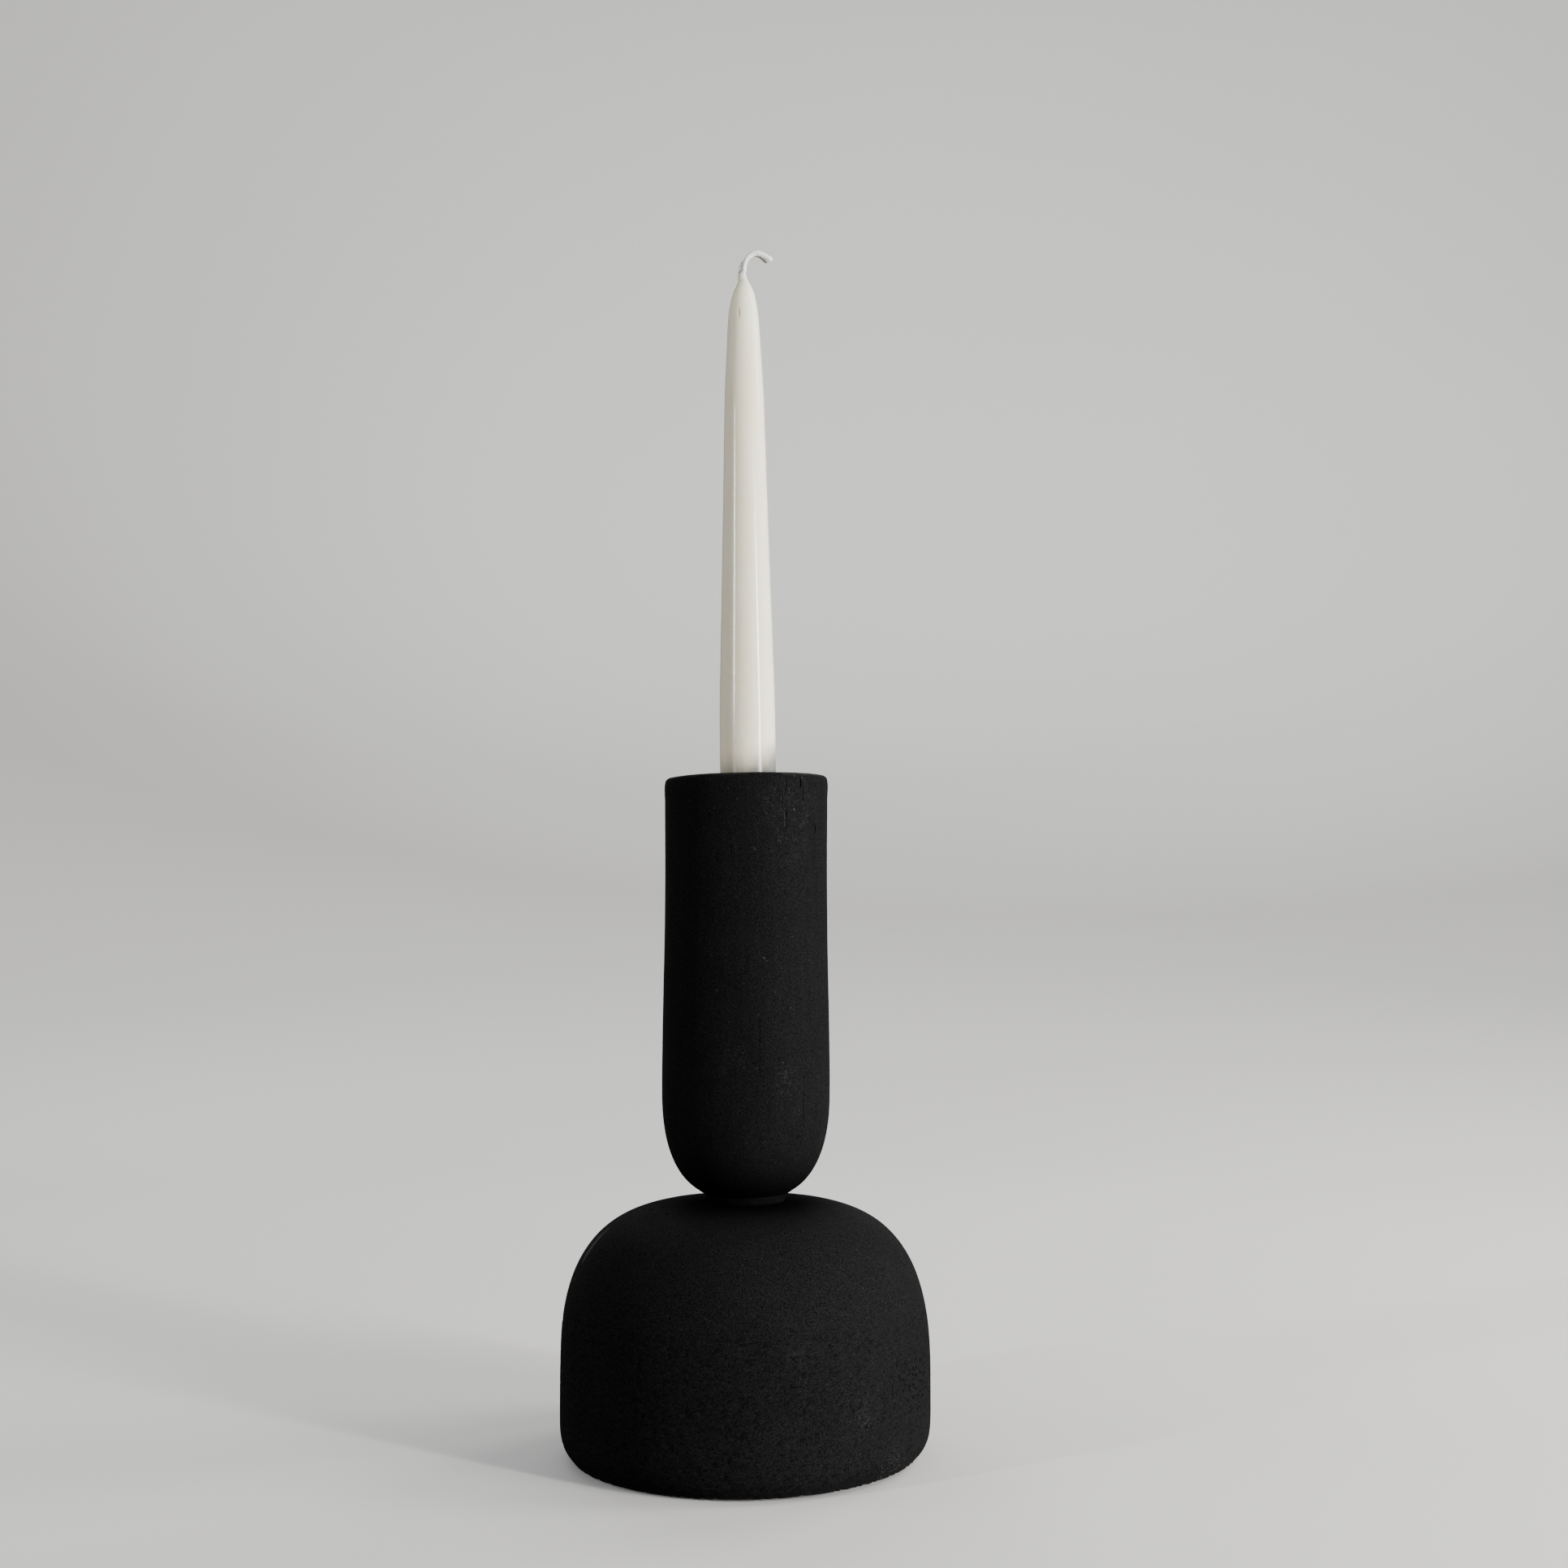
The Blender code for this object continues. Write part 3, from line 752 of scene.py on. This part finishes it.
def near_column_mark(point):
    """Whether a point of the column is so near a check, a scratch or a nick that it needs a finer mesh."""
    if point.xy.length < COLUMN_BORE:
        return False
    for azimuth, low, length, width in [mark[:4] for mark in CHECKS + SCRATCHES]:
        beside = abs(round_from(point, azimuth)) < (width / 2 + 1.1) * MM
        if beside and (low - 0.6) * MM < point.z < (low + length + 0.6) * MM:
            return True
    at_rim = point.z > node_boxes["column"][1].z - 3.2 * MM
    return at_rim and any(
        abs(round_from(point, azimuth)) < (width + 0.5) * MM for azimuth, width, _ in RIM_NICKS
    )


def column_wear_and_painted_light(point):
    """Pale lips and scratches, shade painted inside the checks, and a highlight painted along the rim's edge.
    """
    if point.xy.length < COLUMN_BORE:
        return 0.0
    # A patchy highlight painted on the rim's top, along its outer edge
    below = RIM_SLOPE * point.x + RIM_MIDDLE - point.z
    rim_highlight = max(0.0, 1 - below / (1.5 * MM)) * min(max(point.xy.length - RIM_HIGHLIGHT_FROM, 0) / (1.2 * MM), 1)
    value = 0.30 * rim_highlight * max(0.0, 0.6 + 1.6 * noise.noise(point * 260))
    for azimuth, low, length, width, _, lip in CHECKS:
        beside = beside_check(point, azimuth, low, length, width)
        # Shade painted inside each check
        if beside is not None and abs(beside) < 0.8:
            return -1.0
        if beside is not None and -2.6 < beside < -0.8:
            value = max(value, lip * (0.75 + 0.5 * noise.noise(point * 1500)))
    for azimuth, low, length, width, paleness in SCRATCHES:
        beside = beside_check(point, azimuth, low, length, width)
        if beside is not None and abs(beside) < 1:
            value = max(value, paleness * (1 + noise.noise(point * 1500)))
    return value


def make_column():
    scuffs = [
        (on_surface(30, 33.5 * MM, 262 * MM), 17 * MM),
        (on_surface(34, 33.5 * MM, 246 * MM), 13 * MM),
        (on_surface(-8, 34.2 * MM, 160 * MM), 9 * MM),
        (on_surface(30, 34.2 * MM, 152 * MM), 9 * MM),
        (on_surface(140, 33.8 * MM, 190 * MM), 15 * MM),
        (on_surface(-120, 33.8 * MM, 255 * MM), 13 * MM),
    ]
    bm = fine_copy("column", WOOD_STEP, COLUMN_SIDES)
    refine(bm, near_column_mark, 3)
    press_in(bm, column_depth)
    wood = stained_wood("column_wood", COLUMN_TONE, (620, 620, 26), 0.10, scuffs)
    made = finish_piece("turned_column", bm, wood, "candlestick", 50, column_wear_and_painted_light)
    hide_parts("column")


def pit_opening(point, azimuth, out, size):
    """1 in the middle of a pit, falling to 0 at its ragged edge."""
    middle = on_surface(azimuth, out * MM, 0)
    distance = (point.xy - middle.xy).length / (size * MM) if point.z > 60 * MM else 1.0
    return max(0.0, 1 - distance * distance * (1.0 + 0.5 * noise.noise(point * 900)))


def base_depth(point):
    if point.xy.length < DOWEL_HOLE or (point.z < RECESS_HEIGHT and point.xy.length < RECESS):
        return 0.0
    above_foot = min(max(point.z - 2 * MM, 0) / (12 * MM), 1)
    pitted = sum(depth * MM * pit_opening(point, *pit) for *pit, depth in PITS)
    return unevenness(point, 0.10 * MM, 34 * MM) * above_foot + pitted


def pale_stroke_at(point, from_azimuth, from_height, to_azimuth, to_height, width, paleness):
    """A pale stroke's paleness at a point: a stroke between two places, thinner towards its ends."""
    along = (point.z - from_height * MM) / ((to_height - from_height) * MM)
    if not 0 < along < 1:
        return 0.0
    middle = from_azimuth + along * (to_azimuth - from_azimuth)
    across = round_from(point, middle) / (width * MM / 2)
    edge = math.sin(math.pi * along) ** 0.5 - abs(across)
    return paleness * min(1.0, max(0.0, 3 * edge)) * (0.8 + 0.4 * noise.noise(point * 800))


def base_wear_and_painted_light(point):
    """Pale scrapes, a highlight painted on the left shoulder, and shade painted in the pits."""
    if point.xy.length < DOWEL_HOLE or point.z < 5 * MM:
        return 0.0
    hole = max(pit_opening(point, *pit) for *pit, _ in PITS)
    return -min(1.0, 1.6 * hole) if hole > 0.1 else max(pale_stroke_at(point, *pale_mark) for pale_mark in PALE_STROKES)


def near_base_mark(point):
    """Whether a point of the base is so near a pit or a pale stroke that it needs a finer mesh."""
    for azimuth, out, size, _ in PITS:
        away = (point.xy - on_surface(azimuth, out * MM, 0).xy).length
        if point.z > 90 * MM and away < 2 * size * MM:
            return True
    for first, high, last, low, *_ in PALE_STROKES:
        beside = min(first, last) - 1.5 < azimuth_of(point) < max(first, last) + 1.5
        if beside and (low - 1) * MM < point.z < (high + 1) * MM:
            return True
    return False


def make_base():
    scuffs = [
        (on_surface(34, 75 * MM, 32 * MM), 15 * MM),
        (on_surface(15, 74 * MM, 55 * MM), 9 * MM),
        (on_surface(150, 75 * MM, 40 * MM), 20 * MM),
        (on_surface(-115, 73 * MM, 15 * MM), 16 * MM),
    ]
    dusty = [(on_surface(50, 71 * MM, 4 * MM), 14 * MM), (on_surface(37, 75.2 * MM, 26 * MM), 4 * MM)]
    bm = fine_copy("base", WOOD_STEP, BASE_SIDES)
    refine(bm, near_base_mark, 2)
    press_in(bm, base_depth)
    pored = [(azimuth, on_surface(azimuth, 75 * MM, up), reach) for azimuth, up, reach in PORE_PATCHES]
    marks = (scuffs, dusty, pored)
    wood = stained_wood("base_wood", BASE_TONE_WITH_PAINTED_LIGHT, (180, 620, 620), 0.35, *marks, 1.1, 0.016, (0.85, 58 * MM))
    made = finish_piece("turned_base", bm, wood, "candlestick", 50, base_wear_and_painted_light)
    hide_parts("base")


def make_neck():
    bm = fine_copy("neck_dowel", SMALL_STEP, SMALL_SIDES)
    press_in(bm, lambda point: unevenness(point, 0.04 * MM, 9 * MM))
    wood = stained_wood("neck_wood", NECK_TONE_WITH_PAINTED_SHADE, (620, 620, 26), 0.3, corner=(0.5, 42 * MM))
    made = finish_piece("turned_neck", bm, wood, "candlestick")
    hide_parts("neck_dowel")


# ---------------------------------------------------------------- cup and felt


def make_cup():
    bm = fine_copy("candle_cup", 0.5 * MM, SMALL_SIDES)
    press_in(bm, lambda point: unevenness(point, 0.02 * MM, 8 * MM))
    made = finish_piece("drawn_cup", bm, cup_brass(), "candlestick", sharp=40)
    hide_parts("candle_cup")


def make_felt():
    """The felt disc. Its edge bulges and frays a little, and its faces are matted."""
    radius = node_boxes["felt_pad"][1].x

    def shrink(point):
        edge = point.xy.length > radius - 0.6 * MM
        matting = 0.05 * MM * noise.noise(point * 700) + 0.05 * MM * noise.noise(point * 1900)
        return matting + (0.05 * MM if edge else 0.09 * MM)

    bm = fine_copy("felt_pad", 0.9 * MM, BASE_SIDES)
    press_in(bm, shrink)
    made = finish_piece("felt_disc", bm, pressed_felt(), "candlestick")
    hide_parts("felt_pad")


# ---------------------------------------------------------------- candle


def make_candle(upright, in_place):
    """The taper, with the faint waves of dipping, and wax drawn up to the wick at its tip."""

    def depth(point):
        if point.xy.length < 1.3 * MM:
            return 0.0
        waves = 0.035 * MM * noise.noise(Vector((point.x * 40, point.y * 40, point.z * 130)))
        lumps = 0.030 * MM * noise.noise(point * 110 + Vector((4, 0, 9)))
        across = round_from(point, WAX_DENT[0]) / (0.28 * MM)
        up = (point.z - WAX_DENT[1]) / (2.2 * MM)
        mark = 0.16 * MM * max(0.0, 1 - up * up) * math.exp(-across * across)
        return waves + lumps + mark

    bm = fine_copy("candle", SMALL_STEP, SMALL_SIDES, upright, closed=True)
    press_in(bm, depth)
    draw_up_tip(bm)
    bm.transform(in_place)
    made = finish_piece("taper_candle", bm, candle_wax(), "candle")
    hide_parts("candle")


def draw_up_tip(bm):
    """Stretches the top of the wax up round the wick, where the last dip ran down and set."""
    refine(bm, lambda point: point.z > TIP_START, 3)
    top = WICK_CURL[0][1]
    heights, radii, shifts = (np.array(values) * MM for values in zip(*WAX_TIP))
    reach = heights[-1]
    tip = [v.co for v in bm.verts if v.co.z > TIP_START]
    walls = sorted((place.z, place.xy.length) for place in tip if place.xy.length > 1.5 * MM)
    wall_heights, wall_radii = (np.array(values) for values in zip(*walls))
    for vertex in bm.verts:
        height, radius = vertex.co.z, vertex.co.xy.length
        if height < heights[0]:
            continue
        raised = heights[0] + (height - heights[0]) * (reach - heights[0]) / (top - heights[0])
        outer = np.interp(height, wall_heights, wall_radii)
        share = min(1.0, max(0.0, (radius - 1.2 * MM) / (outer - 1.2 * MM)))
        wanted = 0.8 * MM + (np.interp(raised, heights, radii) - 0.8 * MM) * share
        vertex.co.x *= wanted / radius
        vertex.co.y *= wanted / radius
        vertex.co.x += np.interp(raised, heights, shifts)
        vertex.co.z = raised


def smooth_path(points, step):
    """A Catmull-Rom curve through the points, about step apart."""
    points = np.array(points, float)
    ends = np.concatenate([2 * points[:1] - points[1:2], points, 2 * points[-1:] - points[-2:-1]])
    path = []
    for i in range(len(points) - 1):
        count = max(1, round(np.linalg.norm(points[i + 1] - points[i]) / step))
        path += [spline_weights(k / count) @ ends[i : i + 4] for k in range(count)]
    return np.array([*path, points[-1]])


def frames_along(path, side):
    """The direction, side and up of a path at each of its points, without twist."""
    direction = np.gradient(path, axis=0)
    direction /= np.linalg.norm(direction, axis=1)[:, None]
    sides = np.tile(np.array(side, float), (len(path), 1))
    sides -= (sides * direction).sum(1)[:, None] * direction
    sides /= np.linalg.norm(sides, axis=1)[:, None]
    return direction, sides, np.cross(direction, sides)


def add_tube(bm, path, radii, side=(0, 1, 0), flat=1.0, sides=12, slot=0):
    """A closed tube along a path, with a radius for each of its points. flat squashes it across its side."""
    _, across, up = frames_along(path, side)
    angles = np.arange(sides) * math.tau / sides
    rows = []
    for point, a, b, radius in zip(path, across, up, radii):
        ring = point + radius * (np.cos(angles)[:, None] * a + flat * np.sin(angles)[:, None] * b)
        rows.append([bm.verts.new(p) for p in ring])
    for first, second in zip(rows, rows[1:]):
        for j in range(sides):
            k = (j + 1) % sides
            bm.faces.new((first[j], first[k], second[k], second[j])).material_index = slot
    for row, point in ((rows[0][::-1], path[0]), (rows[-1], path[-1])):
        tip = bm.verts.new(point)
        for j in range(sides):
            bm.faces.new((row[j], row[(j + 1) % sides], tip)).material_index = slot


def rounded_ends(radius, count, taper=3):
    """A radius for each of count points, rounded off over the last few."""
    radii = np.full(count, radius)
    for i in range(taper):
        radii[-1 - i] *= math.sqrt((i + 0.35) / (taper + 0.35))
    return radii


def make_wick(in_place):
    """Three plaited strands round a waxy core, frayed at the end, with loose yarn under it painted dark as
    shade.
    """
    curl = [(across, 0.0, up) for across, up in WICK_CURL]
    path = smooth_path([(0, 0, WICK_CURL[0][1] - 3 * MM), *curl], 0.16 * MM)
    direction, side, up = frames_along(path, (0, 1, 0))
    travel = np.concatenate([[0], np.cumsum(np.linalg.norm(np.diff(path, axis=0), axis=1))])
    share = travel / travel[-1]
    turned = np.radians(90) * np.clip((share - 0.35) / 0.3, 0, 1)
    wide = np.cos(turned)[:, None] * side + np.sin(turned)[:, None] * up
    thin = np.cross(direction, wide)

    bm = bmesh.new()
    random = np.random.default_rng(5)
    strand, spread, lift, plait = 0.66 * MM, 0.62 * MM, 0.12 * MM, 5.2 * MM
    for k in range(3):
        phase = math.tau * (travel / plait + k / 3)
        opening = spread * (0.68 + 0.32 * np.clip(share / 0.45, 0, 1))
        centre = path + (opening * np.sin(phase))[:, None] * wide
        centre = centre + (lift * np.sin(2 * phase))[:, None] * thin
        count = len(centre) - (0, 12, 4)[k]
        add_tube(bm, centre[:count], rounded_ends(strand, count, 5), sides=14)
        for _ in range(7):
            start = centre[count - 5] + random.normal(0, 0.16 * MM, 3)
            reach = direction[count - 5] * random.uniform(0.7, 1.5) * MM + random.normal(0, 0.25 * MM, 3)
            bend = start + 0.5 * reach + random.normal(0, 0.12 * MM, 3)
            fibre = smooth_path([start, bend, start + reach], 0.2 * MM)
            add_tube(bm, fibre, np.linspace(0.09, 0.03, len(fibre)) * MM, sides=6)
    add_tube(bm, path, rounded_ends(1.0 * MM, len(path), 6), sides=16)
    # Loose yarn painted dark, as shade under the wick's frayed end
    loose = smooth_path([(across * MM, 0, height * MM) for across, height in LOOSE_YARN], 0.2 * MM)
    share = np.linspace(0, 1, len(loose))
    add_tube(bm, loose, np.interp(share, (0, 0.35, 0.85, 1), (0.22, 0.45, 0.64, 0.4)) * MM, slot=1)
    bm.transform(in_place)
    yarns = [waxed_cotton(), shaded_cotton()]
    made = finish_piece("braided_wick", bm, yarns, "candle", sharp=60)
    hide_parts("wick")


def make_wax_film(in_place):
    """A thin torn skin of wax that stands up beside the wick, on its left."""
    film = smooth_path([(across * MM, -0.1 * MM, up * MM) for across, up in WAX_SKIN], 0.16 * MM)
    widths = np.interp(np.linspace(0, 1, len(film)), (0, 0.5, 0.85, 1), (0.95, 0.92, 0.70, 0.25)) * MM
    bm = bmesh.new()
    add_tube(bm, film, widths, side=(1, 0, 0), flat=0.3, sides=28)
    press_in(bm, lambda point: (0.22 * noise.noise(point * 900) + 0.10 * noise.noise(point * 2600)) * MM)
    bm.transform(in_place)
    finish_piece("wax_film", bm, shaded_thin_wax(), "candle", sharp=60)


# ---------------------------------------------------------------- stage, lights, camera


def stage_skin(name, lightness):
    """Matt paint, a little mottled."""
    made, tree, shader = material(name, Roughness=0.9, Specular_IOR_Level=0.1)
    mottled = noise_value(tree, object_coordinates(tree), scale=2.0)
    shades = ((0.98, 0.975, 0.96), (1.01, 1.005, 0.99))
    dull, bright = ([lightness * part for part in shade] for shade in shades)
    tree.links.new(blend(tree, mottled, dull, bright), shader.inputs["Base Color"])
    return made


def turned(name, outline, skin):
    """Part of the stage, turned from (radius, height) points, with its faces towards the object."""
    radius, height = (np.repeat(np.array(values)[:, None], 96, 1) for values in zip(*outline))
    bm = grid_mesh(name, radius, height)
    bmesh.ops.reverse_faces(bm, faces=bm.faces)
    mesh = bpy.data.meshes.new(name)
    bm.to_mesh(mesh)
    bm.free()
    mesh.shade_smooth()
    mesh.materials.append(skin)
    made = bpy.data.objects.new(name, mesh)
    bpy.context.scene.collection.objects.link(made)
    return made


def add_stage():
    """A pale floor that sweeps up into a wall, and a black card under it, so that no light comes up at the
    dark wood."""
    sweep = [
        (STAGE_RADIUS - STAGE_SWEEP + STAGE_SWEEP * math.sin(a), STAGE_SWEEP - STAGE_SWEEP * math.cos(a))
        for a in np.linspace(0, math.pi / 2, 24)
    ]
    outline = [(0.0, 0.0), (FLOOR_RADIUS, 0.0), *sweep, (STAGE_RADIUS, STAGE_HEIGHT)]
    pale = turned("stage", outline, stage_skin("pale_stage", 0.83))
    pale.visible_diffuse = False
    pale.visible_glossy = False
    pale.visible_shadow = False
    turned("card", [(0.0, -2 * MM), (CARD_RADIUS, -2 * MM)], stage_skin("black_card", 0.02))


def add_light(name, azimuth, elevation, distance, size, power, colour=(1, 1, 1), facing=1, shine=True):
    """A rectangular soft light that faces the object, or away from it if facing is -1. With shine off it
    leaves no highlights."""
    data = bpy.data.lights.new(name, "AREA")
    data.shape = "RECTANGLE"
    data.size, data.size_y = size
    data.energy = power
    data.color = colour
    made = bpy.data.objects.new(name, data)
    tilt = math.radians(elevation)
    outward = on_surface(azimuth, math.cos(tilt), math.sin(tilt))
    made.location = LIGHT_AIM + distance * outward
    made.rotation_euler = (-facing * outward).to_track_quat("-Z", "Y").to_euler()
    made.visible_camera = False
    made.visible_glossy = shine
    bpy.context.scene.collection.objects.link(made)


def add_lights():
    """Broad and narrow light from the right, a narrow strip from the left, and dim light all round."""
    add_light("key", 56, 3, 1.7, (0.60, 1.1), 31, (1.0, 0.985, 0.96), shine=False)
    add_light("key_strip", 51, 3, 1.7, (0.09, 0.9), 34, (1.0, 0.985, 0.96))
    add_light("low_right", 80, -6.0, 1.7, (1.1, 0.12), 25, (1.0, 0.97, 0.94))
    add_light("high_right", 92, 36, 1.5, (0.5, 0.7), 9, (1.0, 0.98, 0.95))
    add_light("high_left", -88, 38, 1.5, (0.5, 0.7), 2)
    add_light("fill_left", -82, 6, 1.7, (0.9, 1.0), 0.8, shine=False)
    add_light("behind_right", 135, 28, 1.3, (0.5, 0.5), 6, (1.0, 0.97, 0.94), shine=False)
    add_light("behind_left", -150, 28, 1.3, (0.5, 0.5), 3, shine=False)
    add_light("behind_high", 180, 34, 1.7, (1.2, 0.4), 7)
    add_light("window", -57, 14, 1.6, (0.035, 0.37), 8, (0.99, 0.99, 1.0))
    add_light("wall", 168, 33, 1.4, (1.6, 0.5), 16, facing=-1)
    world = bpy.data.worlds.new("soft_world")
    world.use_nodes = True
    world.node_tree.nodes["Background"].inputs["Color"].default_value = (0.98, 0.985, 1.0, 1.0)
    world.node_tree.nodes["Background"].inputs["Strength"].default_value = 0.20
    bpy.context.scene.world = world


def add_camera():
    data = bpy.data.cameras.new("camera")
    data.sensor_width = 36
    data.lens = CAMERA_LENS
    made = bpy.data.objects.new("camera", data)
    made.location = (0, -CAMERA_DISTANCE, CAMERA_HEIGHT)
    made.rotation_euler = (math.radians(90 + CAMERA_PITCH), 0, math.radians(-CAMERA_YAW))
    bpy.context.scene.collection.objects.link(made)
    bpy.context.scene.camera = made


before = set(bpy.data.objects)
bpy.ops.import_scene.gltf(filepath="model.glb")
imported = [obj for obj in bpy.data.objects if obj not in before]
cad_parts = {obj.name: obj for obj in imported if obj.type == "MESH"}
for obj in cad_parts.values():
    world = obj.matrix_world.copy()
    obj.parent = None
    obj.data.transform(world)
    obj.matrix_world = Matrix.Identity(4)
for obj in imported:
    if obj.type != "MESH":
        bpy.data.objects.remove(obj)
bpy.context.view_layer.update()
node_boxes = {name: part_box(name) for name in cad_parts}

add_camera()
add_stage()
add_lights()
make_base()
make_neck()
make_column()
make_cup()
make_felt()
upright, in_place = axis_of("candle")
make_candle(upright, in_place)
make_wick(in_place)
make_wax_film(in_place)
